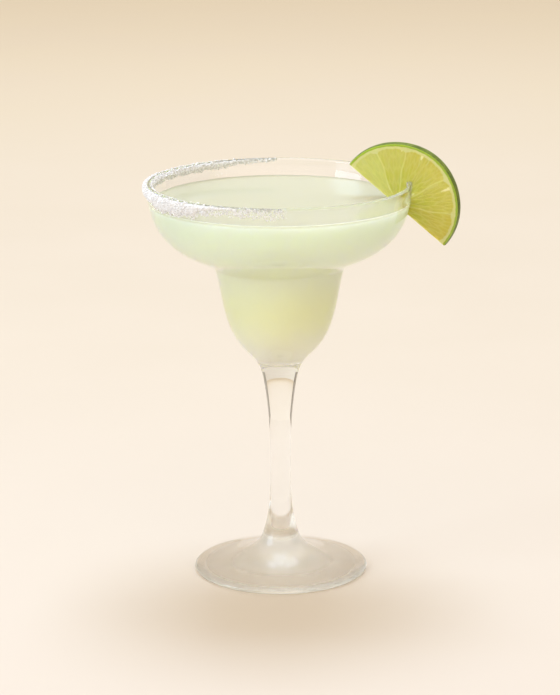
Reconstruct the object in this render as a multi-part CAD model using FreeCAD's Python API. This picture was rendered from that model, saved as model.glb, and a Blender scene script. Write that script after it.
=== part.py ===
import FreeCAD, Part
import math
import os

# Margarita cocktail: a stemmed glass with a wide saucer over a narrow cup, the drink in it,
# a half wheel of lime hung on the rim and a crust of salt round half of the rim.
# Millimetres. The origin is on the glass's axis at the plane that the foot rests on; +Z is up.

# Foot
FOOT_RADIUS = 38.1
FOOT_EDGE = 2.1              # thickness at the foot's rounded edge
REST_RING = 4.0              # width of the flat ring under the foot
FOOT_HOLLOW = 2.4            # height of the shallow dome inside that ring
FOOT_HEADING = 168           # headings are the profile's direction, in degrees from level

# Stem
ANKLE_RADIUS = 12.8
ANKLE_HEIGHT = 9.5
ANKLE_HEADING = 150
HEEL_RADIUS = 7.3
HEEL_HEIGHT = 18.0
HEEL_HEADING = 106
WAIST_RADIUS = 4.5
WAIST_HEIGHT = 48.0
STEM_TOP_RADIUS = 6.5
STEM_TOP_BELOW_THROAT = 16.2
STEM_TOP_HEADING = 82
THROAT_RADIUS = 13.2
THROAT_HEADING = 42
STEM_HEIGHT = 98.2           # from the table to the throat, where the stem turns into the cup

# Cup, from the throat up to the neck under the saucer
CUP_RADIUS = 28.0
CUP_DEPTH = 38.1
CUP_SIDE_IN = 3.3            # the cup's side stands this far inside the neck
CUP_SIDE_DOWN = 15.5
CUP_SIDE_HEADING = 78
CUP_BOTTOM_DROP = 1.7        # the hollow's lowest point, below the throat
NECK_HEADING = 74

# Saucer, from the neck up to the top of the lip
SAUCER_DEPTH = 37.7
RIM_RADIUS = 57.0
UNDERSIDE_OUT = 3.0          # the fillet between cup and saucer
UNDERSIDE_UP = 2.7
UNDERSIDE_HEADING = 30
TURN_IN = 8.2                # where the saucer turns up, inside the rim
TURN_UP = 13.4
TURN_HEADING = 46
WALL_IN = 0.7                # the upright wall's start, inside the rim
WALL_DOWN = 8.5
WALL_HEADING = 80
LIP = 1.9                    # thickness at the rounded lip
WALL = 2.2                   # thickness of saucer and cup
LEVEL = 0
UPRIGHT = 90

# Drink
DRINK_BELOW_LIP = 7.9

# Lime half wheel
LIME_RADIUS = 26.6
LIME_THICKNESS = 6.0
LIME_CROWN = 0.5             # how far the skin bulges between the two cut faces
LIME_CENTRE_IN = 5.9         # middle of the straight cut, inside the rim
LIME_CENTRE_DOWN = 10.6      # and below the lip
LIME_TILT = 38.5             # degrees that the straight cut falls outwards
LIME_TURN = 16.0             # degrees that the outer half is swung off the radius
SLIT_GAP = 0.25              # between the slit and the glass

# Salt crust
SALT_START = 91.0            # degrees round the rim, from +X towards +Y
SALT_END = 273.0
SALT_OUT = 1.7               # thickness outside the glass
SALT_IN = 0.9                # thickness inside the glass
SALT_CREST = 0.35            # thickness over the lip
SALT_DROP_OUT = 4.8
SALT_DROP_IN = 3.4
SALT_UNEVEN = 0.24           # share by which thickness and drop wander
SALT_TAPER = 16.0            # degrees over which the crust thins out at each end
SALT_END_SHARE = 0.45        # what is left of its thickness at the very end
SALT_SHOULDER = 0.55         # share of its thickness beside the lip's top
SALT_HEM = 0.45              # and at its lower edge
SALT_SECTIONS = 31

HANDLE = 0.38                # length of a curve's handle, as a share of its chord

LIP_HEIGHT = STEM_HEIGHT + CUP_DEPTH + SAUCER_DEPTH
NECK_HEIGHT = STEM_HEIGHT + CUP_DEPTH
RIM_HEIGHT = LIP_HEIGHT - LIP / 2
DRINK_LEVEL = LIP_HEIGHT - DRINK_BELOW_LIP
AXIS_FOOT = FreeCAD.Vector(0, 0, 0)
UP = FreeCAD.Vector(0, 0, 1)


def at(radius, height):
    """A point of the profile, in the plane y = 0."""
    return FreeCAD.Vector(radius, 0, height)


def station(radius, height, heading):
    """A point of the profile and the direction there, in degrees from +X towards +Z."""
    angle = math.radians(heading)
    return at(radius, height), FreeCAD.Vector(math.cos(angle), 0, math.sin(angle))


def shifted(stop, distance):
    """A station moved to the left of its direction, which is towards the inside of the glass."""
    point, way = stop
    return point + FreeCAD.Vector(-way.z, 0, way.x) * distance, way


def span(start, end):
    """A curve that leaves one station and reaches the next along their directions."""
    reach = HANDLE * start[0].distanceToPoint(end[0])
    curve = Part.BezierCurve()
    curve.setPoles([start[0], start[0] + start[1] * reach, end[0] - end[1] * reach, end[0]])
    return curve.toShape()


def spans(stops):
    return [span(start, end) for start, end in zip(stops, stops[1:])]


def line(start, end):
    return Part.LineSegment(start, end).toShape()


def arc(start, middle, end):
    return Part.Arc(start, middle, end).toShape()


def turned(edges):
    """The solid that a closed profile sweeps round the glass's axis."""
    face = Part.Face(Part.Wire(Part.__sortEdges__(edges)))
    return face.revolve(AXIS_FOOT, UP, 360)


def foot_and_stem_stops():
    return [
        station(FOOT_RADIUS - FOOT_EDGE / 2, FOOT_EDGE, FOOT_HEADING),
        station(ANKLE_RADIUS, ANKLE_HEIGHT, ANKLE_HEADING),
        station(HEEL_RADIUS, HEEL_HEIGHT, HEEL_HEADING),
        station(WAIST_RADIUS, WAIST_HEIGHT, UPRIGHT),
        station(STEM_TOP_RADIUS, STEM_HEIGHT - STEM_TOP_BELOW_THROAT, STEM_TOP_HEADING),
    ]


def bowl_stops():
    """The bowl's outside, from the throat to the rim, with the wall's thickness at each."""
    side_height = NECK_HEIGHT - CUP_SIDE_DOWN
    underside_height = NECK_HEIGHT + UNDERSIDE_UP
    return [
        (station(THROAT_RADIUS, STEM_HEIGHT, THROAT_HEADING), WALL),
        (station(CUP_RADIUS - CUP_SIDE_IN, side_height, CUP_SIDE_HEADING), WALL),
        (station(CUP_RADIUS, NECK_HEIGHT, NECK_HEADING), WALL),
        (station(CUP_RADIUS + UNDERSIDE_OUT, underside_height, UNDERSIDE_HEADING), WALL),
        (station(RIM_RADIUS - TURN_IN, NECK_HEIGHT + TURN_UP, TURN_HEADING), WALL),
        (station(RIM_RADIUS - WALL_IN, LIP_HEIGHT - WALL_DOWN, WALL_HEADING), WALL),
        (station(RIM_RADIUS, RIM_HEIGHT, UPRIGHT), LIP),
    ]


def inner_stops():
    """The hollow's profile, from its lowest point on the axis up to the rim."""
    bottom = station(0, STEM_HEIGHT - CUP_BOTTOM_DROP, LEVEL)
    return [bottom] + [shifted(stop, wall) for stop, wall in bowl_stops()]


def make_glass():
    outside = foot_and_stem_stops() + [stop for stop, wall in bowl_stops()]
    inside = inner_stops()
    ring_out = at(FOOT_RADIUS - FOOT_EDGE / 2, 0)
    ring_in = at(FOOT_RADIUS - FOOT_EDGE / 2 - REST_RING, 0)
    hollow_top = at(0, FOOT_HOLLOW)
    dome_heading = 180 - 2 * math.degrees(math.atan(FOOT_HOLLOW / ring_in.x))
    edges = [
        span(station(ring_in.x, 0, dome_heading), station(0, FOOT_HOLLOW, 180)),
        line(ring_in, ring_out),
        arc(ring_out, at(FOOT_RADIUS, FOOT_EDGE / 2), outside[0][0]),
        arc(outside[-1][0], at(RIM_RADIUS - LIP / 2, LIP_HEIGHT), inside[-1][0]),
        line(inside[0][0], hollow_top),
    ]
    return turned(edges + spans(outside) + spans(inside))


def make_half_wheel():
    """The lime before its slit is cut, hung in its place over the rim."""
    half = LIME_THICKNESS / 2
    centre = FreeCAD.Vector(0, 0, 0)
    edges = [
        line(FreeCAD.Vector(0, -half, 0), FreeCAD.Vector(LIME_RADIUS, -half, 0)),
        arc(
            FreeCAD.Vector(LIME_RADIUS, -half, 0),
            FreeCAD.Vector(LIME_RADIUS + LIME_CROWN, 0, 0),
            FreeCAD.Vector(LIME_RADIUS, half, 0),
        ),
        line(FreeCAD.Vector(LIME_RADIUS, half, 0), FreeCAD.Vector(0, half, 0)),
        line(FreeCAD.Vector(0, half, 0), FreeCAD.Vector(0, -half, 0)),
    ]
    face = Part.Face(Part.Wire(edges))
    wheel = face.revolve(centre, FreeCAD.Vector(0, -1, 0), 180)
    wheel.rotate(centre, FreeCAD.Vector(0, 1, 0), LIME_TILT)
    wheel.translate(FreeCAD.Vector(RIM_RADIUS - LIME_CENTRE_IN, half, LIP_HEIGHT - LIME_CENTRE_DOWN))
    wheel.rotate(FreeCAD.Vector(RIM_RADIUS - WALL_IN, half, 0), UP, -LIME_TURN)
    return wheel


def make_slit_cutter():
    """The upper wall of the glass, grown by the slit's gap all round."""
    upper = bowl_stops()[-3:]
    outside = [shifted(stop, -SLIT_GAP) for stop, wall in upper]
    inside = [shifted(stop, wall + SLIT_GAP) for stop, wall in upper]
    top = LIP_HEIGHT + SLIT_GAP
    top_out = at(outside[-1][0].x, top)
    top_in = at(inside[-1][0].x, top)
    edges = [
        line(outside[0][0], inside[0][0]),
        line(outside[-1][0], top_out),
        line(top_out, top_in),
        line(top_in, inside[-1][0]),
    ]
    return turned(edges + spans(outside) + spans(inside))


def wander(azimuth, phase):
    """An uneven value around 1, the sum of a slow and a quick wave along the rim."""
    slow = math.sin(math.radians(azimuth) * 5 + phase)
    quick = math.sin(math.radians(azimuth) * 13 + 2 * phase)
    return 1 + SALT_UNEVEN * (0.6 * slow + 0.4 * quick)


def salt_section(azimuth):
    """One closed section of the crust, around the lip, at an angle round the rim."""
    from_end = min(azimuth - SALT_START, SALT_END - azimuth)
    full = SALT_END_SHARE + (1 - SALT_END_SHARE) * min(1, from_end / SALT_TAPER)
    out = SALT_OUT * full * wander(azimuth, 0.4)
    inward = SALT_IN * full * wander(azimuth, 1.9)
    drop_out = SALT_DROP_OUT * full * wander(azimuth, 3.1)
    drop_in = SALT_DROP_IN * full * wander(azimuth, 4.4)
    inner = RIM_RADIUS - LIP
    middle = RIM_RADIUS - LIP / 2
    shoulder, belly, hem = 0.08, 0.5, 0.94
    outline = [
        at(middle, LIP_HEIGHT + SALT_CREST),
        at(RIM_RADIUS + SALT_SHOULDER * out, LIP_HEIGHT - shoulder * drop_out),
        at(RIM_RADIUS + out, LIP_HEIGHT - belly * drop_out),
        at(RIM_RADIUS + SALT_HEM * out, LIP_HEIGHT - hem * drop_out),
        at(middle, LIP_HEIGHT - drop_out),
        at(inner - SALT_HEM * inward, LIP_HEIGHT - hem * drop_in),
        at(inner - inward, LIP_HEIGHT - belly * drop_in),
        at(inner - SALT_SHOULDER * inward, LIP_HEIGHT - shoulder * drop_in),
    ]
    curve = Part.BSplineCurve()
    curve.interpolate(Points=outline, PeriodicFlag=True)
    wire = Part.Wire(curve.toShape())
    wire.rotate(AXIS_FOOT, UP, azimuth)
    return wire


def make_salt(glass):
    step = (SALT_END - SALT_START) / (SALT_SECTIONS - 1)
    sections = [salt_section(SALT_START + step * i) for i in range(SALT_SECTIONS)]
    band = Part.makeLoft(sections, True, False)
    pieces = band.cut(glass).Solids
    return max(pieces, key=lambda piece: piece.Volume)


def make_drink(wheel):
    inside = inner_stops()
    rim_in = inside[-1][0]
    rim_axis = at(0, rim_in.z)
    hollow = turned(spans(inside) + [line(rim_in, rim_axis), line(rim_axis, inside[0][0])])
    above = Part.makeCylinder(2 * RIM_RADIUS, LIP_HEIGHT, at(0, DRINK_LEVEL))
    return hollow.cut(above).cut(wheel)


def single(shape):
    """The one solid of a shape."""
    assert len(shape.Solids) == 1, f"{len(shape.Solids)} solids"
    return shape.Solids[0]


def main():
    glass = make_glass()
    wheel = make_half_wheel()
    nodes = {
        "glass": glass,
        "drink": make_drink(wheel),
        "lime_half_wheel": wheel.cut(make_slit_cutter()),
        "salt_crust": make_salt(glass),
    }
    os.makedirs("parts", exist_ok=True)
    for name, shape in nodes.items():
        solid = single(shape)
        solid.exportStep(f"parts/{name}.step")
        box = solid.BoundBox
        print(f"{name}: {solid.Volume / 1000:.2f} ml, valid {solid.isValid()}",
              f"x {box.XMin:.2f} {box.XMax:.2f} y {box.YMin:.2f} {box.YMax:.2f}",
              f"z {box.ZMin:.2f} {box.ZMax:.2f}")


main()
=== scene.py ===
# %% [markdown]
# # A margarita in a half-salted glass
# The drink is a cloudy, pale green mix of lime juice, orange liqueur and tequila.
# It stands in a clear stemmed glass: a wide saucer over a narrow cup, on a solid
# stem and a round foot. Salt sticks to one half of the rim and a half wheel of
# lime hangs on the other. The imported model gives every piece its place, so the
# first step is to load it and to keep its outer box.

# %% Load the fixed frame
import math

import bmesh
import bpy
import numpy as np
from mathutils import Matrix, Vector


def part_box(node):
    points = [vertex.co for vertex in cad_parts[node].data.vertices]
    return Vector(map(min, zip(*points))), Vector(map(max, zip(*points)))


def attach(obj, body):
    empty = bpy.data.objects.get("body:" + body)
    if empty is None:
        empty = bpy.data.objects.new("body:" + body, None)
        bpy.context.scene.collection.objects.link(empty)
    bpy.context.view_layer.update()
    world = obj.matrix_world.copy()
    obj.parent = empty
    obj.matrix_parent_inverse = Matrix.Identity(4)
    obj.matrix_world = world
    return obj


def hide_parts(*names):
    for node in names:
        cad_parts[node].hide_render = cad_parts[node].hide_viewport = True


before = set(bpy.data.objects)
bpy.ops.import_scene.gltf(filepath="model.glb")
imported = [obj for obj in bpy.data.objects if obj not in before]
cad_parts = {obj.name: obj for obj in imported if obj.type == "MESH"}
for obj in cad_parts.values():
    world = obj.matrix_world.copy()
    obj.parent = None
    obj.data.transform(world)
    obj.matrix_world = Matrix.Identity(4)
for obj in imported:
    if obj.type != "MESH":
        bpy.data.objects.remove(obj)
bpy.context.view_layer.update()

MM = 0.001
glass_high = np.array(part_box("glass")[1]) / MM
drink_high = np.array(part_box("drink")[1]) / MM
print("glass reaches", glass_high.round(1), "mm; drink level", drink_high[2].round(1), "mm")

# %% [markdown]
# ## Sizes
# Every size is in millimetres and is the construction's own. The three that the
# frame can tell are read from its boxes: the rim's radius, the lip's height and
# the drink's level.
# The glass's profile is a chain of stations: a radius, a height and the way the
# outline heads there. Curves between them give the same glass as the solid model,
# but as fine as the camera needs.

# %% Named sizes
RIM_RADIUS = float(glass_high[0])
LIP_HEIGHT = float(glass_high[2])
DRINK_LEVEL = float(drink_high[2])
FOOT_RADIUS = 38.1
FOOT_EDGE = 2.1
REST_RING = 4.0
FOOT_HOLLOW = 2.4
LIP = 1.9
WALL = 2.2
NECK_HEIGHT = LIP_HEIGHT - 37.7
THROAT_HEIGHT = NECK_HEIGHT - 38.1
RIM_HEIGHT = LIP_HEIGHT - LIP / 2
HANDLE = 0.38

foot_and_stem = [
    (FOOT_RADIUS - FOOT_EDGE / 2, FOOT_EDGE, 168),
    (12.8, 9.5, 150),
    (7.3, 18.0, 106),
    (4.5, 48.0, 90),
    (6.5, THROAT_HEIGHT - 16.2, 82),
]
bowl = [
    (13.2, THROAT_HEIGHT, 42),
    (24.7, NECK_HEIGHT - 15.5, 78),
    (28.0, NECK_HEIGHT, 74),
    (31.0, NECK_HEIGHT + 2.7, 30),
    (RIM_RADIUS - 8.2, NECK_HEIGHT + 13.4, 46),
    (RIM_RADIUS - 0.7, LIP_HEIGHT - 8.5, 80),
    (RIM_RADIUS, RIM_HEIGHT, 90),
]
bowl_bottom = (0.0, THROAT_HEIGHT - 1.7, 0)
print("stations:", len(foot_and_stem) + len(bowl), "outside,", len(bowl) + 1, "inside")

# %% [markdown]
# ## Curves and meshes
# Blown glass has no corners, so its outline is drawn with cubic curves that leave
# and meet each station along its heading. An inner wall is the same chain of
# stations moved sideways by the wall's thickness, which keeps the wall even. The
# helpers after that turn an outline round the axis and store masks on the points.

# %% Curves between stations


def heading(degrees):
    return np.array([math.cos(math.radians(degrees)), math.sin(math.radians(degrees))])


def shifted(stop, distance):
    """A station moved to the left of its heading, which is towards the hollow."""
    way = heading(stop[2])
    return (stop[0] - way[1] * distance, stop[1] + way[0] * distance, stop[2])


def curve_through(stops, steps):
    """Points along the cubic curves that join the stations, without the last one."""
    points = []
    for start, end in zip(stops, stops[1:]):
        a, d = np.array(start[:2]), np.array(end[:2])
        reach = HANDLE * np.linalg.norm(d - a)
        b, c = a + heading(start[2]) * reach, d - heading(end[2]) * reach
        t = np.linspace(0, 1, steps, endpoint=False)[:, None]
        points.append((1 - t) ** 3 * a + 3 * t * (1 - t) ** 2 * b + 3 * t * t * (1 - t) * c + t**3 * d)
    return np.vstack(points)


def round_edge(start, end, steps):
    """Half a circle from start to end, bulging to the right of the way between them."""
    middle, arm = (start + end) / 2, (start - end) / 2
    side = np.array([-arm[1], arm[0]])
    angles = np.linspace(0, math.pi, steps, endpoint=False)[:, None]
    return middle + np.cos(angles) * arm + np.sin(angles) * side


print("a rounded edge has", len(round_edge(np.array([0.0, 0.0]), np.array([LIP, 0.0]), 12)), "points")


# %% Mesh helpers


def fade(value, start, end):
    """0 before start, 1 after end and a soft step between."""
    t = np.clip((value - start) / (end - start), 0, 1)
    return t * t * (3 - 2 * t)


def mark(piece, name, values):
    """Store a value on every point of a mesh, for its material to read."""
    layer = piece.data.attributes.new(name, "FLOAT", "POINT")
    layer.data.foreach_set("value", np.asarray(values, dtype=np.float32))


def new_piece(name, vertices, faces, sharp_above=35):
    """A mesh object in the frame's metres, from points in millimetres."""
    mesh = bpy.data.meshes.new(name)
    mesh.from_pydata((np.asarray(vertices) * MM).tolist(), [], faces)
    mesh.update()
    piece = bpy.data.objects.new(name, mesh)
    bpy.context.scene.collection.objects.link(piece)
    mesh.shade_smooth()
    if sharp_above:
        mesh.set_sharp_from_angle(angle=math.radians(sharp_above))
    print(f"{name}: {len(mesh.vertices)} points, {len(mesh.polygons)} faces")
    return piece


def turned(outline, sides):
    """Vertices and faces of an outline swept round the axis; points on the axis become poles."""
    angles = np.linspace(0, 2 * math.pi, sides, endpoint=False)
    vertices, rings = [], []
    for radius, height in outline:
        if radius < 1e-6:
            rings.append([len(vertices)])
            vertices.append((0.0, 0.0, height))
        else:
            rings.append(list(range(len(vertices), len(vertices) + sides)))
            vertices += [(radius * math.cos(a), radius * math.sin(a), height) for a in angles]
    faces = []
    for low, high in zip(rings, rings[1:]):
        for i in range(sides):
            j = (i + 1) % sides
            corners = [low[i % len(low)], low[j % len(low)], high[j % len(high)], high[i % len(high)]]
            faces.append(tuple(dict.fromkeys(corners)))
    return vertices, faces


print("a cone of 6 sides has", len(turned([(0.0, 1.0), (1.0, 0.0)], 6)[1]), "faces")


# %% [markdown]
# ## The glass
# A margarita glass is blown and pressed in one go, so it is one closed skin: under
# the foot, up the outside, over the rounded lip and down the inside. A lathe does
# that here. The solid model would do for the shape, but refraction shows every
# facet, so the same stations are swept again with far more sides.

# %% Turn the glass
GLASS_SIDES = 224
REST_GAP = 0.06          # keeps the resting ring off the floor, so that no two faces coincide

foot_start = np.array([FOOT_RADIUS - FOOT_EDGE / 2, REST_GAP])
ring_in = foot_start - np.array([REST_RING, 0.0])
dome_heading = 180 - 2 * math.degrees(math.atan(FOOT_HOLLOW / ring_in[0]))
dome = curve_through([(ring_in[0], REST_GAP, dome_heading), (0.0, FOOT_HOLLOW, 180)], 14)
outside_stops = foot_and_stem + bowl
inside_stops = [bowl_bottom] + [shifted(stop, WALL) for stop in bowl[:-1]] + [shifted(bowl[-1], LIP)]
outside = curve_through(outside_stops, 14)
inside = curve_through(inside_stops, 14)
foot_edge = round_edge(foot_start, np.array(outside_stops[0][:2]), 8)
lip_edge = round_edge(np.array(bowl[-1][:2]), np.array(inside_stops[-1][:2]), 12)
glass_outline = np.vstack([
    [[0.0, FOOT_HOLLOW]],
    dome[::-1],
    foot_edge,
    outside,
    lip_edge,
    [inside_stops[-1][:2]],
    inside[::-1],
])
glass = new_piece("glass_blown", *turned(glass_outline, GLASS_SIDES))
radius_and_height = np.array([(math.hypot(*v.co[:2]) / MM, v.co[2] / MM) for v in glass.data.vertices])
dome_height = FOOT_HOLLOW * (1 - (radius_and_height[:, 0] / ring_in[0]) ** 2)
under_foot = radius_and_height[:, 1] < REST_GAP + np.maximum(dome_height, 0) + 0.15
dullness = under_foot * (1 - 0.75 * fade(radius_and_height[:, 0], 31.0, 34.0))
moulded = (1 - fade(radius_and_height[:, 0], 18.0, 30.0)) * (1 - fade(radius_and_height[:, 1], 16.0, 30.0))
dullness = np.maximum(dullness, 0.35 * moulded)
mark(glass, "underside", dullness)
print("points on the underside of the foot:", int(under_foot.sum()))
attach(glass, "root")
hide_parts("glass")

# %% [markdown]
# ## The drink
# Liquid wets glass, so there is no gap between them: the drink's skin is set a
# little way into the wall. Its surface is flat except for the last two
# millimetres, where it climbs the wall. That thin raised edge is what catches
# the light all round.

# %% Fill the bowl
REACH = 0.2              # how far the drink's skin lies inside the wall
CLIMB = 0.4              # height of the raised edge
CLIMB_WIDTH = 1.1
DRINK_SIDES = 200

drink_stops = [(bowl_bottom[0], bowl_bottom[1] - REACH, 0)]
drink_stops += [shifted(stop, WALL - REACH) for stop in bowl[:-1]] + [shifted(bowl[-1], LIP - REACH)]
drink_side = curve_through(drink_stops, 16)
drink_side = drink_side[drink_side[:, 1] < DRINK_LEVEL + CLIMB - 0.1]
edge_radius = float(np.interp(DRINK_LEVEL, drink_side[:, 1], drink_side[:, 0]))
fall = np.concatenate([np.linspace(0, 5, 14), np.linspace(7, edge_radius - 2, 16)])
surface = np.stack([edge_radius - fall, DRINK_LEVEL + CLIMB * np.exp(-fall / CLIMB_WIDTH)], axis=1)
drink_outline = np.vstack([drink_side, surface, [[0.0, DRINK_LEVEL]]])
drink = new_piece("margarita_mix", *turned(drink_outline, DRINK_SIDES), sharp_above=50)
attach(drink, "root")
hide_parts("drink")

# %% [markdown]
# ## The lime
# A half wheel is a slice of fruit with a green skin, a pale pith under it and
# wedges of juice sacs between thin walls. Sculpting each sac by hand would take
# days, and a flat disc with drawn lines would look dead in a close view. So the two cut faces are
# fine polar grids, and a rule says how high each point stands: sacs bulge,
# the walls between wedges and the pith stay level. The same rule later says
# where each colour goes.

# %% Sizes and layout of the half wheel
LIME_RADIUS = 26.6
LIME_HALF = 3.0
LIME_CROWN = 0.5
LIME_TILT = 38.5
LIME_TURN = 16.0
LIME_CENTRE = (RIM_RADIUS - 5.9, LIME_HALF, LIP_HEIGHT - 10.6)
PEEL = 0.75              # width of the green cut edge
PITH = 1.0
SAC_DEPTH = 0.2
WEDGE_WALLS = (0.0, 31.0, 69.0, 119.5, 149.5, 180.0)

dice = np.random.default_rng(7)


def lime_edge(angle):
    """The wheel's radius at an angle in radians: no lime is quite round."""
    return LIME_RADIUS * (1 + 0.008 * np.sin(2 * angle + 0.6) + 0.004 * np.sin(5 * angle))


def sac_seeds(spread):
    """Middles of the juice sacs of one cut face, in angle and radius."""
    seeds = []
    for low, high in zip(WEDGE_WALLS, WEDGE_WALLS[1:]):
        for radius in np.arange(3.5, LIME_RADIUS - 1.0, 5.2):
            width = math.radians(high - low) * radius
            count = max(1, int(round(width / 1.7)))
            for i in range(count):
                share = (i + 0.5 + dice.uniform(-0.3, 0.3)) / count
                angle = math.radians(low + (high - low) * share)
                seeds.append((angle, radius + dice.uniform(-2.2, 2.2) * spread, dice.uniform()))
    return np.array(seeds)


SACS = {"front": sac_seeds(1.0), "back": sac_seeds(1.1)}
print("juice sacs:", {side: len(seeds) for side, seeds in SACS.items()})

# %% The rule for height and colour


def wall_distance(angle, radius):
    """Distance to the nearest wall between wedges, which wanders a little."""
    nearest = np.full(np.shape(angle), 99.0)
    for i, wall in enumerate(WEDGE_WALLS):
        bend = 0.35 * np.sin(radius * 0.42 + 1.7 * i) * (radius > 0)
        nearest = np.minimum(nearest, np.abs(radius * np.sin(angle - math.radians(wall)) + bend))
    return nearest


def lime_zones(u, v, side):
    """Masks over a cut face: where peel, pith, wedge wall and sac edge are, and a tone for each sac."""
    angle = np.arctan2(np.maximum(v, 0.0), u)
    radius = np.hypot(u, v)
    edge = lime_edge(angle)
    walls = wall_distance(angle, radius)
    notch = 1.1 * np.exp(-((walls / 1.5) ** 2))
    ragged = 0.12 * np.sin(angle * 37) + 0.08 * np.sin(angle * 83 + 1)
    peel = fade(radius, edge - PEEL - 0.12 + 0.4 * ragged, edge - PEEL + 0.1 + 0.4 * ragged)
    pith_start = edge - PEEL - PITH - notch + ragged
    pith = fade(radius, pith_start - 0.35, pith_start + 0.15) * (1 - peel)
    core = 1 - fade(radius, 0.9, 1.7)
    wall = np.maximum(1 - fade(walls, 0.12, 0.42), core)
    seeds = SACS[side]
    turn = (angle[..., None] - seeds[:, 0]) * np.minimum(radius[..., None], seeds[:, 1]) / 0.85
    along = (radius[..., None] - seeds[:, 1]) / 4.4
    distance = np.sqrt(turn**2 + along**2)
    order = np.argpartition(distance, 1, axis=-1)
    first = np.take_along_axis(distance, order[..., :1], -1)[..., 0]
    second = np.take_along_axis(distance, order[..., 1:2], -1)[..., 0]
    gap = np.clip((second - first) / 0.55, 0, 1)
    tone = seeds[order[..., 0], 2]
    flesh = (1 - peel) * (1 - pith) * (1 - wall)
    return {"peel": peel, "pith": pith, "wall": wall, "sac_edge": 1 - gap, "tone": tone, "flesh": flesh}


def relief(u, v, side):
    """How far a point of a cut face stands above it: the sacs sink at their seams."""
    zones = lime_zones(u, v, side)
    bulge = np.sqrt(1 - zones["sac_edge"]) - 0.75
    return SAC_DEPTH * bulge * zones["flesh"]


trial = relief(np.linspace(-20, 20, 81), np.full(81, 8.0), "front")
print("relief along one line:", trial.min().round(2), "to", trial.max().round(2), "mm")


# %% Build the half wheel
LIME_ANGLES = 300
coarse = np.linspace(0, LIME_RADIUS - 3.2, 64)
fine = np.linspace(LIME_RADIUS - 3.2, LIME_RADIUS, 22)[1:]
shares = np.concatenate([coarse, fine]) / LIME_RADIUS
angles = np.linspace(0, math.pi, LIME_ANGLES + 1)
rim_w = np.linspace(-LIME_HALF, LIME_HALF, 13)[1:-1]
chord_w = np.linspace(-1, 1, 9)[1:-1]


def lime_vertices():
    """The two cut faces of the half wheel and the skin between them, as one grid."""
    a, s = np.meshgrid(angles, shares, indexing="ij")
    radius = lime_edge(a) * s
    u, v = radius * np.cos(a), radius * np.sin(a)
    front = np.stack([u, v, -LIME_HALF - relief(u, v, "front")], -1)
    back = np.stack([u, v, LIME_HALF + relief(u, v, "back")], -1)[:, ::-1]
    a, w = np.meshgrid(angles, rim_w, indexing="ij")
    radius = lime_edge(a) + LIME_CROWN * (1 - (w / LIME_HALF) ** 2)
    rim = np.stack([radius * np.cos(a), radius * np.sin(a), w], -1)
    return np.concatenate([front, rim, back], axis=1)


def grid_faces(rows, columns, start=0):
    index = start + np.arange(rows * columns).reshape(rows, columns)
    quads = np.stack([index[:-1, :-1], index[1:, :-1], index[1:, 1:], index[:-1, 1:]], -1)
    return quads.reshape(-1, 4).tolist()


skin = lime_vertices()
count = len(shares)
cuts = []
for end in (0, LIME_ANGLES):
    near, far = skin[end, :count], skin[end, -count:][::-1]
    between = [near * (1 - t) / 2 + far * (1 + t) / 2 for t in chord_w]
    cuts.append(np.stack([near, *between, far], 0))
lime_points = np.vstack([skin.reshape(-1, 3)] + [cut.reshape(-1, 3) for cut in cuts])
lime_faces = grid_faces(*skin.shape[:2])
start = skin.shape[0] * skin.shape[1]
for cut in cuts:
    lime_faces += grid_faces(*cut.shape[:2], start)
    start += cut.shape[0] * cut.shape[1]
lime = new_piece("lime", lime_points, lime_faces, sharp_above=None)

# %% [markdown]
# ### The slit
# A bartender cuts from the middle towards the skin and pushes the slice over the
# lip. The cutter is the upper wall of the glass, grown a little all round, so the
# slit has the lip's own curve and slope. The grids meet edge to edge, and welding
# them first gives the closed solid that the cut needs.

# %% Weld it and cut the slit


def weld(piece, distance):
    work = bmesh.new()
    work.from_mesh(piece.data)
    bmesh.ops.remove_doubles(work, verts=work.verts, dist=distance * MM)
    bmesh.ops.dissolve_degenerate(work, edges=work.edges, dist=distance * MM / 4)
    bmesh.ops.recalc_face_normals(work, faces=work.faces)
    work.to_mesh(piece.data)
    work.free()
    piece.data.update()


def lime_placement():
    """From the wheel's own axes (along the cut, towards the skin, through the slice) to the frame."""
    own = Matrix(((1, 0, 0), (0, 0, 1), (0, 1, 0))).to_4x4()
    tilt = Matrix.Rotation(math.radians(LIME_TILT), 4, "Y")
    move = Matrix.Translation(Vector(LIME_CENTRE) * MM)
    pivot = Matrix.Translation(Vector((RIM_RADIUS - 0.7, LIME_HALF, 0)) * MM)
    turn = pivot @ Matrix.Rotation(math.radians(-LIME_TURN), 4, "Z") @ pivot.inverted()
    return turn @ move @ tilt @ own


SLIT_GAP = 0.12
to_frame = lime_placement()
weld(lime, 0.004)
lime.data.transform(to_frame)
lime.data.update()

slit_out = curve_through([shifted(stop, -SLIT_GAP) for stop in bowl[-3:]], 16)
slit_in = curve_through([shifted(stop, WALL + SLIT_GAP) for stop in bowl[-3:]], 16)
top_out, top_in = slit_out[-1][0], slit_in[-1][0]
lip_top = LIP_HEIGHT + SLIT_GAP
slit_ring = np.vstack([slit_out, [[top_out, lip_top - 0.5], [top_in, lip_top - 0.5]], slit_in[::-1]])
slit_angles = np.radians(np.linspace(-30, 40, 29))
slit_points = [[(r * math.cos(a), r * math.sin(a), z) for r, z in slit_ring] for a in slit_angles]
slit_count = len(slit_ring)
slit_faces = []
for i in range(len(slit_angles) - 1):
    for j in range(slit_count):
        k = (j + 1) % slit_count
        here, there = i * slit_count, (i + 1) * slit_count
        slit_faces.append((here + j, here + k, there + k, there + j))
slit_faces.append(tuple(range(slit_count)))
slit_faces.append(tuple(range((len(slit_angles) - 1) * slit_count, len(slit_angles) * slit_count)))
slit = new_piece("slit_cutter", np.array(slit_points).reshape(-1, 3), slit_faces, sharp_above=None)
weld(slit, 0.001)

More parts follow.
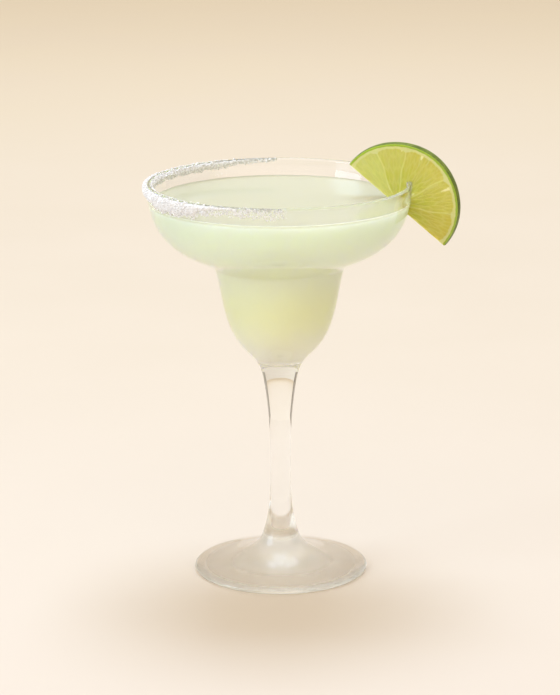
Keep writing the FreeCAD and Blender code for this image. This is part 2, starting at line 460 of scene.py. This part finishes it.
cut = lime.modifiers.new("slit", "BOOLEAN")
cut.operation = "DIFFERENCE"
cut.solver = "EXACT"
cut.object = slit
depsgraph = bpy.context.evaluated_depsgraph_get()
lime_mesh = bpy.data.meshes.new_from_object(lime.evaluated_get(depsgraph))
lime.modifiers.clear()
lime.data = lime_mesh
bpy.data.objects.remove(slit)
print("lime after the slit:", len(lime_mesh.vertices), "points")

# %% [markdown]
# ### Where the colours go
# The cut adds points, so the rule is asked again for every point of the finished
# mesh, in the slice's own plane. Each answer is stored on the point as a mask. The
# wedges differ a little in colour, the flesh is deeper in tone a third of the way
# out from the core, and a few sacs are painted pale: a painted highlight that
# stands in for the glints of wet flesh.

# %% Mark the lime's zones on its points
WEDGE_SHADES = (0.1, 0.3, 0.3, 0.6, 1.0)
DEEP_AT = 9.0            # how far from the core the flesh is deepest in tone
DEEP_SPREAD = 8.0


def mesh_points(piece):
    flat = np.empty(len(piece.data.vertices) * 3)
    piece.data.vertices.foreach_get("co", flat)
    return flat.reshape(-1, 3)


back_to_own = np.array(to_frame.inverted())
own = mesh_points(lime) @ back_to_own[:3, :3].T + back_to_own[:3, 3]
own = own / MM
lime_radius = np.hypot(own[:, 0], own[:, 1])
lime_angle = np.arctan2(np.maximum(own[:, 1], 0), own[:, 0])
on_front = own[:, 2] < 0
zones = {}
for side, chosen in (("front", on_front), ("back", ~on_front)):
    for name, values in lime_zones(own[chosen, 0], own[chosen, 1], side).items():
        zones.setdefault(name, np.zeros(len(own)))[chosen] = values
past_edge = lime_radius - lime_edge(lime_angle)
between_faces = np.abs(own[:, 2]) < LIME_HALF * 0.97
zones["skin"] = np.clip(fade(past_edge, 0.02, 0.1) + between_faces * fade(past_edge, -0.15, -0.02), 0, 1)
wedge = np.searchsorted(WEDGE_WALLS[1:-1], np.degrees(lime_angle))
zones["wedge"] = np.array(WEDGE_SHADES)[wedge]
streaks = 0.45 + 0.55 * np.sin(lime_angle * 5.0 + 0.8) ** 2
deep = np.exp(-(((lime_radius - DEEP_AT) / DEEP_SPREAD) ** 2)) * streaks
# A few pale sacs make a painted highlight, standing in for the glints of wet flesh.
zones["painted_highlight"] = fade(zones["tone"], 0.93, 0.94) * (1 - fade(zones["sac_edge"], 0.1, 0.3)) * zones["flesh"]
zones["inner"] = deep * np.where(wedge > 3, 0.3, 1.0)
for name, values in zones.items():
    mark(lime, name, values)
lime.data.shade_smooth()
lime.data.set_sharp_from_angle(angle=math.radians(60))
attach(lime, "root")
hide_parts("lime_half_wheel")
print("lime zones:", sorted(zones))

# %% [markdown]
# ## The salt
# The rim was wetted with lime and pressed into coarse salt, so the crust is
# uneven: packed and white on the far left, thin and patchy where it ends, and
# rubbed off the very top of the lip. The moist salt is a thin crust with a
# ragged edge, and thousands of loose crystals stick to it. They are real boxes
# with knocked corners, joined into one mesh.

# %% Follow the lip
SALT_START = 91.0        # degrees round the rim, from the lime's side towards the back
SALT_END = 273.0
HANG_BACK = 3.8          # how far the salt hangs down outside, at the back and in front
HANG_FRONT = 8.0
HANG_INSIDE = 4.4

outside_wall = outside[outside[:, 1] > DRINK_LEVEL - 10]
outside_wall = np.vstack([outside_wall, [bowl[-1][:2]]])
inside_wall = inside[inside[:, 1] > DRINK_LEVEL - 10]
inside_wall = np.vstack([inside_wall, [inside_stops[-1][:2]]])
lip_middle = np.array([RIM_RADIUS - LIP / 2, RIM_HEIGHT])
quarter = math.pi * LIP / 4


def lip_frame(way):
    """Point and outward direction on the lip's profile; way is 0 on top, more outside and less inside."""
    way = np.asarray(way, dtype=float)
    bow = np.clip(way / (LIP / 2), -math.pi / 2, math.pi / 2)
    point = lip_middle + LIP / 2 * np.stack([np.sin(bow), np.cos(bow)], -1)
    out = np.stack([np.sin(bow), np.cos(bow)], -1)
    down = RIM_HEIGHT - np.clip(np.abs(way) - quarter, 0, None)
    outer = np.interp(down, outside_wall[:, 1], outside_wall[:, 0])
    inner = np.interp(down, inside_wall[:, 1], inside_wall[:, 0])
    straight = np.abs(way) > quarter
    point[..., 0] = np.where(straight, np.where(way > 0, outer, inner), point[..., 0])
    point[..., 1] = np.where(straight, down, point[..., 1])
    return point, out


def waves(azimuth, seed):
    """A steady, uneven value between about -1 and 1 along the rim."""
    total = np.zeros(np.shape(azimuth))
    picks = np.random.default_rng(seed)
    for turns in (4, 9, 17, 31, 53, 87):
        height = picks.uniform(0.5, 1)
        wave = np.sin(np.radians(azimuth) * turns + picks.uniform(0, 6.3))
        total = total + height * wave / turns**0.45
    return total / 1.6


def salt_amount(azimuth):
    """How much salt sticks along the rim, from 0 to 1: most on the left."""
    rise = fade(azimuth, SALT_START, SALT_START + 50)
    fall = 1 - fade(azimuth, 222, 246)
    ends = fade(azimuth, SALT_START, SALT_START + 4) * (1 - fade(azimuth, SALT_END - 3, SALT_END))
    return (0.25 + 0.75 * rise * fall) * ends


def clumps(azimuth, width, seed):
    """Round lobes side by side, like the lower edge of clumped salt: 0 in the notches, 1 at the lobes."""
    wander = azimuth + 1.4 * width * waves(azimuth * 0.37, seed)
    deep = 0.55 + 0.45 * np.abs(waves(azimuth * 0.21, seed + 40))
    return 1 - deep * (1 - np.sqrt(np.abs(np.sin(np.pi * wander / width))))


def salt_reach(azimuth, outer):
    """How far down the wall the salt goes, in millimetres from the top of the lip."""
    full = HANG_BACK + (HANG_FRONT - HANG_BACK) * fade(azimuth, 182, 212) if outer else HANG_INSIDE
    seed = 3 if outer else 5
    lobes = 0.55 + 0.45 * clumps(azimuth, 6.3 if outer else 11.9, seed)
    uneven = 1 + 0.22 * waves(azimuth, seed)
    return np.maximum(full * (0.5 + 0.5 * salt_amount(azimuth)) * lobes * uneven, 1.0)


print("salt hangs down", salt_reach(np.array([150.0, 225.0]), True).round(1), "mm outside, back and front")


# %% [markdown]
# ### The crust
# Salt that has drawn water sits as one lumpy band under the loose crystals. There
# is one band outside the lip and one inside, each as closed rings of points that
# share one grid. It is rubbed off the top of the lip, and narrows to its two ends.

# %% Pack the moist crust
CRUST_STEPS = 420
CRUST_WIDTH = 16
CRUST_START, CRUST_END = 104.0, 252.0
BARE_TOP = 1.0           # the crest of the lip is rubbed clean this far to each side
CRUST_OUTSIDE = 1.2      # greatest thickness outside the lip and inside it
CRUST_INSIDE = 0.55


def crust_hem(azimuth, outer):
    """How far down the crust goes: nearly as far as the crystals, and less towards its ends."""
    narrow = 0.25 + 0.75 * fade(azimuth, CRUST_START, CRUST_START + 22)
    narrow = narrow * (1 - 0.8 * fade(azimuth, CRUST_END - 34, CRUST_END))
    return BARE_TOP + np.maximum(salt_reach(azimuth, outer) * 0.92 - BARE_TOP, 0.1) * narrow


def crust_thickness(azimuth, share, outer):
    """Thickness of the crust: round in section, lumpy, and thin towards its ends."""
    ends = fade(azimuth, CRUST_START, CRUST_START + 22) * (1 - fade(azimuth, CRUST_END - 14, CRUST_END))
    section = np.sin(math.pi * np.clip(share, 0, 1)) ** 0.6
    lumps = 1 + 0.3 * waves(azimuth + 9 * share, 11) + 0.22 * waves(azimuth * 1.7 - 31 * share, 12)
    top = CRUST_OUTSIDE if outer else CRUST_INSIDE
    return top * ends * section * np.clip(lumps, 0.2, 2) * salt_amount(azimuth) ** 0.5


def around(point, azimuth):
    """A point of the lip's profile, carried round the axis."""
    turn = np.radians(azimuth)
    return np.stack([point[..., 0] * np.cos(turn), point[..., 0] * np.sin(turn), point[..., 1]], -1)


def crust_band(outer):
    azimuth, share = np.meshgrid(
        np.linspace(CRUST_START, CRUST_END, CRUST_STEPS), np.linspace(0, 1, CRUST_WIDTH), indexing="ij")
    sign = 1 if outer else -1
    way = sign * (BARE_TOP + share * (crust_hem(azimuth, outer) - BARE_TOP))
    point, out = lip_frame(way)
    thick = crust_thickness(azimuth, share, outer)[..., None]
    top = around(point + out * (0.02 + thick), azimuth)
    under = around(point + out * 0.02, azimuth)[:, ::-1]
    return np.concatenate([top, under], axis=1)


crust_points, crust_faces = [], []
for outer in (True, False):
    ring = crust_band(outer)
    rows, columns = ring.shape[:2]
    start = sum(len(part) for part in crust_points)
    crust_points.append(ring.reshape(-1, 3))
    closed_ring = start + np.arange(rows * columns).reshape(rows, columns)
    after = np.roll(closed_ring, -1, axis=1)
    quads = np.stack([closed_ring[:-1], after[:-1], after[1:], closed_ring[1:]], -1)
    crust_faces += quads.reshape(-1, 4).tolist()
    crust_faces += [tuple(closed_ring[0]), tuple(closed_ring[-1])]
crust = new_piece("salt_packed", np.vstack(crust_points), crust_faces, sharp_above=None)
weld(crust, 0.0005)
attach(crust, "root")
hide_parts("salt_crust")

# %% [markdown]
# ### The crystals
# Bar salt is broken cubes of a few tenths of a millimetre. Each grain is a box
# with its corners pushed about, turned at random and set on the crust or on the
# bare glass below it. All of them are joined in one mesh, and their faces are
# flat, because flat faces make the sparkle.

# %% Scatter the crystals
GRAINS = 9000
BOX_CORNERS = np.array([(x, y, z) for x in (-1, 1) for y in (-1, 1) for z in (-1, 1)], dtype=float)
BOX_FACES = np.array([(0, 1, 3, 2), (4, 6, 7, 5), (0, 4, 5, 1), (2, 3, 7, 6), (0, 2, 6, 4), (1, 5, 7, 3)])


def random_turns(number, picks):
    """Random rotations as matrices, from unit quaternions."""
    q = picks.normal(size=(number, 4))
    w, x, y, z = (q / np.linalg.norm(q, axis=1, keepdims=True)).T
    return np.stack([
        np.stack([1 - 2 * (y * y + z * z), 2 * (x * y - z * w), 2 * (x * z + y * w)], -1),
        np.stack([2 * (x * y + z * w), 1 - 2 * (x * x + z * z), 2 * (y * z - x * w)], -1),
        np.stack([2 * (x * z - y * w), 2 * (y * z + x * w), 1 - 2 * (x * x + y * y)], -1),
    ], -2)


def scatter_salt(number):
    picks = np.random.default_rng(21)
    azimuth = picks.uniform(SALT_START, SALT_END, number * 3)
    azimuth = azimuth[picks.uniform(size=len(azimuth)) < 0.25 + 0.75 * salt_amount(azimuth)][:number]
    outer = picks.uniform(size=len(azimuth)) < 0.62
    reach = np.where(outer, salt_reach(azimuth, True), salt_reach(azimuth, False))
    share = picks.beta(1.5, 1.35, len(azimuth)) * 1.02
    way = np.where(outer, 1, -1) * (0.7 + share * (reach - 0.7))
    point, out = lip_frame(way)
    down_out = (np.abs(way) - BARE_TOP) / (crust_hem(azimuth, True) - BARE_TOP)
    down_in = (np.abs(way) - BARE_TOP) / (crust_hem(azimuth, False) - BARE_TOP)
    thick_out = crust_thickness(azimuth, down_out, True)
    thick_in = crust_thickness(azimuth, down_in, False)
    thick = np.where(outer, thick_out, thick_in)
    size = picks.lognormal(math.log(0.2), 0.38, len(azimuth)) * (0.75 + 0.4 * salt_amount(azimuth))
    size = np.clip(size, 0.08, 0.5)
    lift = thick * np.where(azimuth < CRUST_END, 1, 0) + size * picks.uniform(0.2, 0.9, len(azimuth))
    middle = around(point + out * lift[:, None], azimuth)
    boxes = BOX_CORNERS * picks.uniform(0.6, 1.0, (len(azimuth), 1, 3))
    boxes = boxes + picks.uniform(-0.22, 0.22, (len(azimuth), 8, 3))
    turned_boxes = np.einsum("nij,nkj->nki", random_turns(len(azimuth), picks), boxes)
    points = middle[:, None, :] + turned_boxes * size[:, None, None]
    faces = BOX_FACES[None] + 8 * np.arange(len(azimuth))[:, None, None]
    return points.reshape(-1, 3), faces.reshape(-1, 4).tolist()


grains = new_piece("salt_crystals", *scatter_salt(GRAINS), sharp_above=None)
grains.data.shade_flat()
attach(grains, "root")

# %% [markdown]
# ## Materials
# One node group gives uneven marks to several finishes: a soft mask from two
# sizes of noise. Each material then uses it with its own scale.

# %% Shared groups and node helpers


def new_group(name, inputs, outputs):
    group = bpy.data.node_groups.new(name, "ShaderNodeTree")
    for label, kind, value in inputs:
        socket = group.interface.new_socket(label, in_out="INPUT", socket_type=kind)
        if value is not None:
            socket.default_value = value
    for label, kind in outputs:
        group.interface.new_socket(label, in_out="OUTPUT", socket_type=kind)
    return group, group.nodes.new("NodeGroupInput"), group.nodes.new("NodeGroupOutput")


def build_marks():
    """A mask from 0 to 1: broad patches broken up by fine speckle."""
    group, given, result = new_group(
        "uneven_marks",
        [("Size", "NodeSocketFloat", 100.0), ("Fine Size", "NodeSocketFloat", 1500.0),
         ("Fine Share", "NodeSocketFloat", 0.4), ("Low", "NodeSocketFloat", 0.4),
         ("High", "NodeSocketFloat", 0.6)],
        [("Mask", "NodeSocketFloat")],
    )
    nodes, links = group.nodes, group.links
    place = nodes.new("ShaderNodeTexCoord")
    broad = nodes.new("ShaderNodeTexNoise")
    fine = nodes.new("ShaderNodeTexNoise")
    mix = nodes.new("ShaderNodeMix")
    stretch = nodes.new("ShaderNodeMapRange")
    stretch.interpolation_type = "SMOOTHSTEP"
    for noise, socket in ((broad, "Size"), (fine, "Fine Size")):
        noise.inputs["Detail"].default_value = 3.0
        links.new(place.outputs["Object"], noise.inputs["Vector"])
        links.new(given.outputs[socket], noise.inputs["Scale"])
    links.new(given.outputs["Fine Share"], mix.inputs["Factor"])
    links.new(broad.outputs["Fac"], mix.inputs["A"])
    links.new(fine.outputs["Fac"], mix.inputs["B"])
    links.new(mix.outputs["Result"], stretch.inputs["Value"])
    links.new(given.outputs["Low"], stretch.inputs["From Min"])
    links.new(given.outputs["High"], stretch.inputs["From Max"])
    links.new(stretch.outputs["Result"], result.inputs["Mask"])
    return group


MARKS = build_marks()
print("shared node group:", MARKS.name)


class Finish:
    """A material with a Principled BSDF, and short ways to add and join nodes."""

    def __init__(self, name, **constants):
        self.material = bpy.data.materials.new(name)
        self.material.use_nodes = True
        self.nodes = self.material.node_tree.nodes
        self.links = self.material.node_tree.links
        self.shader = self.nodes["Principled BSDF"]
        for label, value in constants.items():
            self.shader.inputs[label.replace("_", " ")].default_value = value

    def add(self, kind, **inputs):
        node = self.nodes.new(kind)
        for label, value in inputs.items():
            node.inputs[label.replace("_", " ")].default_value = value
        return node

    def join(self, output, target):
        self.links.new(output, target)

    def marks(self, size, fine, share, low, high):
        node = self.nodes.new("ShaderNodeGroup")
        node.node_tree = MARKS
        given = {"Size": size, "Fine Size": fine, "Fine Share": share, "Low": low, "High": high}
        for label, value in given.items():
            node.inputs[label].default_value = value
        return node.outputs["Mask"]

    def blend(self, mask, first, second):
        """A colour mix; first and second are colours or sockets."""
        node = self.nodes.new("ShaderNodeMix")
        node.data_type = "RGBA"
        self.links.new(mask, node.inputs["Factor"])
        for value, socket in ((first, node.inputs["A"]), (second, node.inputs["B"])):
            if isinstance(value, tuple):
                socket.default_value = (*value, 1.0)
            else:
                self.links.new(value, socket)
        return node.outputs["Result"]

    def scale(self, value, low, high, start=0.0, end=1.0):
        """A value mapped from start..end to low..high."""
        node = self.add("ShaderNodeMapRange", From_Min=start, From_Max=end, To_Min=low, To_Max=high)
        self.links.new(value, node.inputs["Value"])
        return node.outputs["Result"]

    def ramp(self, value, stops):
        """Colours at places from 0 to 1, blended softly."""
        node = self.nodes.new("ShaderNodeValToRGB")
        node.color_ramp.interpolation = "EASE"
        elements = node.color_ramp.elements
        while len(elements) < len(stops):
            elements.new(0.5)
        for element, (position, colour) in zip(elements, stops):
            element.position = position
            element.color = (*colour, 1.0)
        self.links.new(value, node.inputs["Fac"])
        return node.outputs["Color"]

    def attribute(self, name):
        node = self.nodes.new("ShaderNodeAttribute")
        node.attribute_name = name
        return node.outputs["Fac"]

    def bump(self, height, strength, distance):
        node = self.add("ShaderNodeBump", Strength=strength, Distance=distance)
        self.links.new(height, node.inputs["Height"])
        self.links.new(node.outputs["Normal"], self.shader.inputs["Normal"])


def wear(piece, finish):
    piece.data.materials.clear()
    piece.data.materials.append(finish.material)
    print(piece.name, "wears", finish.material.name, "of", len(finish.nodes), "nodes")


# %% [markdown]
# ### Clear glass
# Soda-lime glass bends light by about 1.52 and has a trace of green that shows
# only where it is thick. A perfectly even surface looks like computer glass, so
# a very faint ripple and a few dull handling marks are laid over it.

# %% Glass finish
clear = Finish("clear_glass", Base_Color=(1, 1, 1, 1), Roughness=0.0, IOR=1.52, Transmission_Weight=1.0)
handling = clear.scale(clear.marks(35, 900, 0.35, 0.55, 0.8), 0.0, 0.05)
dulled = clear.add("ShaderNodeMath")
dulled.operation = "MAXIMUM"
clear.join(handling, dulled.inputs[0])
clear.join(clear.scale(clear.attribute("underside"), 0.0, 0.5), dulled.inputs[1])
clear.join(dulled.outputs["Value"], clear.shader.inputs["Roughness"])
ripple = clear.add("ShaderNodeTexNoise", Scale=60.0, Detail=1.0)
clear.join(clear.add("ShaderNodeTexCoord").outputs["Object"], ripple.inputs["Vector"])
clear.bump(ripple.outputs["Fac"], 0.25, 0.0004)
tint = clear.add("ShaderNodeVolumeAbsorption", Color=(0.82, 0.95, 0.86, 1), Density=3.0)
clear.join(tint.outputs["Volume"], clear.nodes["Material Output"].inputs["Volume"])
wear(glass, clear)

# %% [markdown]
# ### Cloudy drink
# Lime juice is water full of fine pulp: light enters, scatters and leaves some
# way off, which gives the soft glow and no hard shadow. Subsurface scattering
# does that. A share of plain transmission lets bright things behind show as
# blurred light, and a smooth coat gives the mirror of a wet surface.

# %% Drink finish
mix = Finish("cloudy_drink", Roughness=0.35, IOR=1.34, Transmission_Weight=0.1, Subsurface_Weight=1.0,
             Subsurface_Scale=0.012, Subsurface_Radius=(1.0, 1.0, 0.75), Coat_Weight=1.0,
             Coat_Roughness=0.02, Coat_IOR=1.34, Specular_IOR_Level=0.15)
drink_place = mix.add("ShaderNodeTexCoord")
drink_axes = mix.add("ShaderNodeSeparateXYZ")
mix.join(drink_place.outputs["Object"], drink_axes.inputs["Vector"])
height_in_drink = drink_axes.outputs["Z"]
depth = mix.scale(height_in_drink, 0.0, 1.0, bowl_bottom[1] * MM, DRINK_LEVEL * MM)
# Colour by height: pale at the bottom, yellower in the narrow cup and greener in the saucer. The saucer is
# painted lighter low down, at its underside and the neck, and darker towards the top: painted light and shade
# that evens out how the lamps fall on it.
tint_and_painted_shade = mix.ramp(depth, [
    (0.0, (0.97, 0.97, 0.88)),
    (0.35, (0.92, 0.96, 0.69)),
    (0.58, (0.93, 0.99, 0.80)),
    (0.8, (0.89, 0.985, 0.84)),
    (1.0, (0.83, 0.93, 0.77)),
])
cloud = mix.marks(45, 220, 0.3, 0.35, 0.7)
clouded = mix.blend(mix.scale(cloud, 0.0, 0.1), tint_and_painted_shade, (0.96, 0.97, 0.90))
# The open surface and its raised edge are painted darker and greener than the body. The mask fades in just
# below the level, which draws a soft dark band where the drink meets the wall: painted shade on the top of
# the drink.
surface_shade_mask = mix.scale(height_in_drink, 0.0, 1.0, (DRINK_LEVEL - 1.0) * MM, (DRINK_LEVEL - 0.1) * MM)
edge_shade_mask = mix.scale(height_in_drink, 0.0, 1.0, (DRINK_LEVEL + 0.03) * MM, (DRINK_LEVEL + 0.2) * MM)
with_surface_shade = mix.blend(surface_shade_mask, clouded, (0.56, 0.565, 0.385))
mix.join(mix.blend(edge_shade_mask, with_surface_shade, (0.54, 0.56, 0.38)), mix.shader.inputs["Base Color"])
wear(drink, mix)

# %% [markdown]
# ### Lime
# The colours follow the zones marked on the mesh. Wet flesh is glossy and lets
# light through; pith is chalky; the skin is waxy and dimpled with oil glands.

# %% Lime finish
fruit = Finish("lime_flesh_and_skin", Roughness=0.3, IOR=1.4, Subsurface_Weight=0.85, Subsurface_Scale=0.0035,
               Subsurface_Radius=(1.0, 0.8, 0.25), Coat_Weight=0.5, Coat_Roughness=0.08)
wedge_colour = fruit.blend(fruit.attribute("wedge"), (0.54, 0.475, 0.05), (0.56, 0.575, 0.16))
inner_colour = fruit.blend(fruit.scale(fruit.attribute("inner"), 0.0, 0.85), wedge_colour, (0.44, 0.47, 0.03))
sac_colour = fruit.blend(fruit.scale(fruit.attribute("tone"), 0.0, 0.25), inner_colour, (0.46, 0.47, 0.03))
seam = fruit.scale(fruit.attribute("sac_edge"), 0.0, 0.3)
seamed = fruit.blend(seam, sac_colour, (0.72, 0.70, 0.20))
# The pale sacs are a painted highlight for the glints of wet flesh.
flesh_colour = fruit.blend(fruit.scale(fruit.attribute("painted_highlight"), 0.0, 0.7), seamed, (0.88, 0.87, 0.50))
with_wall = fruit.blend(fruit.scale(fruit.attribute("wall"), 0.0, 0.4), flesh_colour, (0.74, 0.74, 0.30))
with_pith = fruit.blend(fruit.scale(fruit.attribute("pith"), 0.0, 0.85), with_wall, (0.62, 0.63, 0.28))
with_peel = fruit.blend(fruit.attribute("peel"), with_pith, (0.27, 0.39, 0.015))
skin_colour = fruit.blend(fruit.marks(160, 900, 0.5, 0.35, 0.7), (0.07, 0.115, 0.006), (0.20, 0.26, 0.02))
fruit.join(fruit.blend(fruit.attribute("skin"), with_peel, skin_colour), fruit.shader.inputs["Base Color"])
fruit.join(fruit.scale(fruit.attribute("flesh"), 0.5, 0.18), fruit.shader.inputs["Roughness"])
fruit.join(fruit.scale(fruit.attribute("skin"), 0.6, 0.05), fruit.shader.inputs["Coat Weight"])
glands = fruit.add("ShaderNodeTexVoronoi", Scale=1300.0)
fruit.join(fruit.add("ShaderNodeTexCoord").outputs["Object"], glands.inputs["Vector"])
fruit.bump(glands.outputs["Distance"], 0.35, 0.0002)
wear(lime, fruit)

# %% [markdown]
# ### Salt
# A salt crystal is clear, but a heap of them is white because light bounces from
# face to face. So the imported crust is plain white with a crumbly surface, and the
# loose crystals are a little clear and mostly white. A trace of glow in the crust
# stands in for light that would wander on inside the heap.

# %% Salt finishes
crystal = Finish("salt_crystals", Base_Color=(0.87, 0.87, 0.885, 1), IOR=1.54, Transmission_Weight=0.1)
facets = crystal.scale(crystal.marks(700, 3000, 0.5, 0.4, 0.6), 0.08, 0.4)
crystal.join(facets, crystal.shader.inputs["Roughness"])
wear(grains, crystal)
moist = Finish("salt_packed", Roughness=0.5, IOR=1.5, Emission_Color=(0.8, 0.9, 1.0, 1),
               Emission_Strength=0.012)
moist.join(moist.blend(moist.marks(500, 2500, 0.5, 0.35, 0.65), (0.90, 0.90, 0.91), (0.95, 0.95, 0.95)),
           moist.shader.inputs["Base Color"])
crumbs = moist.add("ShaderNodeTexVoronoi", Scale=1800.0)
moist.join(moist.add("ShaderNodeTexCoord").outputs["Object"], crumbs.inputs["Vector"])
moist.bump(crumbs.outputs["Distance"], 0.8, 0.0005)
wear(crust, moist)

# %% [markdown]
# ## Floor, light and camera
# A large cream floor, soft light from above and a little behind the glass, and a
# bright warm room all round, which keeps the shadow pale. The floor's colour
# changes slowly from front to back: lighter in front, darker just behind the
# glass and lighter and warmer far back. This is painted light and shade for how
# the light falls off across it.

# %% Floor
FLOOR_SIZE = 9.0
floor_mesh = bpy.data.meshes.new("floor")
corners = [(FLOOR_SIZE * x, FLOOR_SIZE * y, 0) for x, y in ((-1, -1), (1, -1), (1, 1), (-1, 1))]
floor_mesh.from_pydata(corners, [], [(0, 1, 2, 3)])
floor = bpy.data.objects.new("floor", floor_mesh)
bpy.context.scene.collection.objects.link(floor)
paper = Finish("cream_paper", Roughness=0.9)
paper.shader.inputs["Specular IOR Level"].default_value = 0.1
paper_place = paper.add("ShaderNodeTexCoord")
paper_axes = paper.add("ShaderNodeSeparateXYZ")
paper.join(paper_place.outputs["Object"], paper_axes.inputs["Vector"])
# Painted light: the floor is lighter in front, darker behind the glass and lighter and warmer far back, for
# how the lamps fall off across it.
painted_falloff = paper.ramp(paper.scale(paper_axes.outputs["Y"], 0.0, 1.0, -0.2, 2.0), [
    (0.0, (0.695, 0.608, 0.522)),
    (0.32, (0.64, 0.553, 0.44)),
    (0.8, (0.735, 0.645, 0.502)),
])
mottle = paper.scale(paper.marks(6, 300, 0.2, 0.2, 0.8), 0.0, 0.3)
paper.join(paper.blend(mottle, painted_falloff, (0.71, 0.62, 0.52)), paper.shader.inputs["Base Color"])
wear(floor, paper)
print("floor is", 2 * FLOOR_SIZE, "m wide")

# %% [markdown]
# ### Lamps
# The room is warm and a little darker on the right, and brighter in front, where
# its light reaches the faces turned to the viewer. Far out at both sides it falls
# off, and that draws soft edges on the round glass. A cool fill from the left
# models the saucer. The lamp overhead is made of two that nearly share a place:
# one that everything shows, weak enough to leave a soft spot on the foot, and one
# that lights cloudy and matt surfaces alone and gives the drink its body.

# %% Room light


def build_world():
    world = bpy.data.worlds.new("warm_room")
    world.use_nodes = True
    nodes, links = world.node_tree.nodes, world.node_tree.links
    sky = nodes["Background"]
    way = nodes.new("ShaderNodeTexCoord")
    split = nodes.new("ShaderNodeSeparateXYZ")
    side = nodes.new("ShaderNodeMapRange")
    shade = nodes.new("ShaderNodeMix")
    shade.data_type = "RGBA"
    shade.inputs["A"].default_value = (0.89, 0.81, 0.69, 1)
    shade.inputs["B"].default_value = (0.74, 0.645, 0.525, 1)
    side.inputs["From Min"].default_value = -0.6
    side.inputs["From Max"].default_value = 0.8
    links.new(way.outputs["Generated"], split.inputs["Vector"])
    links.new(split.outputs["X"], side.inputs["Value"])
    links.new(side.outputs["Result"], shade.inputs["Factor"])
    links.new(shade.outputs["Result"], sky.inputs["Color"])
    front = nodes.new("ShaderNodeMapRange")
    front.inputs["From Min"].default_value = 0.1
    front.inputs["From Max"].default_value = -0.8
    front.inputs["To Min"].default_value = 1.0
    front.inputs["To Max"].default_value = 1.75
    links.new(split.outputs["Y"], front.inputs["Value"])
    width = nodes.new("ShaderNodeMath")
    width.operation = "ABSOLUTE"
    links.new(split.outputs["X"], width.inputs[0])
    wings = nodes.new("ShaderNodeMapRange")
    wings.interpolation_type = "SMOOTHSTEP"
    wings.inputs["From Min"].default_value = 0.75
    wings.inputs["From Max"].default_value = 0.97
    wings.inputs["To Min"].default_value = 1.0
    wings.inputs["To Max"].default_value = 0.15
    links.new(width.outputs["Value"], wings.inputs["Value"])
    strength = nodes.new("ShaderNodeMath")
    strength.operation = "MULTIPLY"
    links.new(front.outputs["Result"], strength.inputs[0])
    links.new(wings.outputs["Result"], strength.inputs[1])
    links.new(strength.outputs["Value"], sky.inputs["Strength"])
    bpy.context.scene.world = world


def area_light(name, place, target, size, power, colour):
    data = bpy.data.lights.new(name, "AREA")
    data.shape = "SQUARE"
    data.size = size
    data.energy = power
    data.color = colour
    lamp = bpy.data.objects.new(name, data)
    lamp.location = place
    lamp.rotation_euler = (Vector(target) - Vector(place)).to_track_quat("-Z", "Y").to_euler()
    bpy.context.scene.collection.objects.link(lamp)
    return lamp


build_world()
area_light("side_fill", (-1.5, -0.6, 0.75), (0, 0, 0.13), 0.9, 12.0, (0.60, 0.78, 0.98))
area_light("soft_lamp", (0.05, 0.52, 1.62), (0, 0, 0.08), 0.75, 5.0, (0.58, 0.73, 1.0))
body_light = area_light("body_light", (0.02, 0.53, 1.64), (0, 0, 0.08), 0.7, 18.0, (0.58, 0.73, 0.96))
body_light.visible_glossy = False
body_light.visible_transmission = False

# %% [markdown]
# ### Dark cards
# Clear glass has no colour of its own, so in a bright room its edges vanish. A
# maker who wants to see them stands a dark card at each side, just outside the
# view. The steep edges of the stem bend the sight sideways into the cards and
# turn into thin dark lines, while the middle stays clear. The cards are seen
# only through the glass and throw no shadow.

# %% Dark cards beside the glass
CARD_AWAY = 0.3
card_finish = Finish("dark_card", Roughness=0.9)
card_marks = card_finish.marks(40, 400, 0.3, 0.3, 0.7)
card_tone = card_finish.blend(card_marks, (0.22, 0.19, 0.15), (0.26, 0.23, 0.19))
card_finish.join(card_tone, card_finish.shader.inputs["Base Color"])
for side in (-1, 1):
    card_mesh = bpy.data.meshes.new("card")
    x = CARD_AWAY * side
    card_mesh.from_pydata([(x, -0.1, 0), (x, 0.3, 0), (x, 0.3, 0.2), (x, -0.1, 0.2)], [], [(0, 1, 2, 3)])
    card = bpy.data.objects.new("card", card_mesh)
    bpy.context.scene.collection.objects.link(card)
    wear(card, card_finish)
    card.visible_camera = False
    card.visible_diffuse = False
    card.visible_glossy = False
    card.visible_shadow = False
print("cards stand", CARD_AWAY, "m to each side")

# %% [markdown]
# ### Camera
# A long lens from a little above: it looks into the saucer and still shows the
# stem at its full height, and it keeps the rim and the foot in one proportion.

# %% Camera
CAMERA_BACK = 1.145
CAMERA_HEIGHT = 0.4016
CAMERA_DOWN = 14.73
CAMERA_ROLL = 0.27
FOCAL = 140.68

camera_data = bpy.data.cameras.new("camera")
camera_data.lens = FOCAL
camera_data.sensor_width = 36.0
camera = bpy.data.objects.new("camera", camera_data)
tilt = Matrix.Rotation(math.radians(90 - CAMERA_DOWN), 4, "X")
roll = Matrix.Rotation(math.radians(-CAMERA_ROLL), 4, "Z")
camera.matrix_world = Matrix.Translation((0, -CAMERA_BACK, CAMERA_HEIGHT)) @ tilt @ roll
bpy.context.scene.collection.objects.link(camera)
bpy.context.scene.camera = camera
bpy.context.scene.view_settings.view_transform = "Standard"
print("camera", CAMERA_BACK, "m in front,", CAMERA_HEIGHT, "m up")

# %% [markdown]
# ### Light through the glass
# On its way to the drink and back, light crosses the wall several times, and it
# runs round inside the foot more often than that. If it is given up too soon, clear
# glass turns grey. So many crossings are allowed, and nothing is blurred.

# %% Let light find its way through the glass
rays = bpy.context.scene.cycles
rays.max_bounces = 40
rays.transmission_bounces = 32
rays.diffuse_bounces = 12
rays.glossy_bounces = 12
rays.blur_glossy = 0.0
print("crossings allowed:", rays.transmission_bounces)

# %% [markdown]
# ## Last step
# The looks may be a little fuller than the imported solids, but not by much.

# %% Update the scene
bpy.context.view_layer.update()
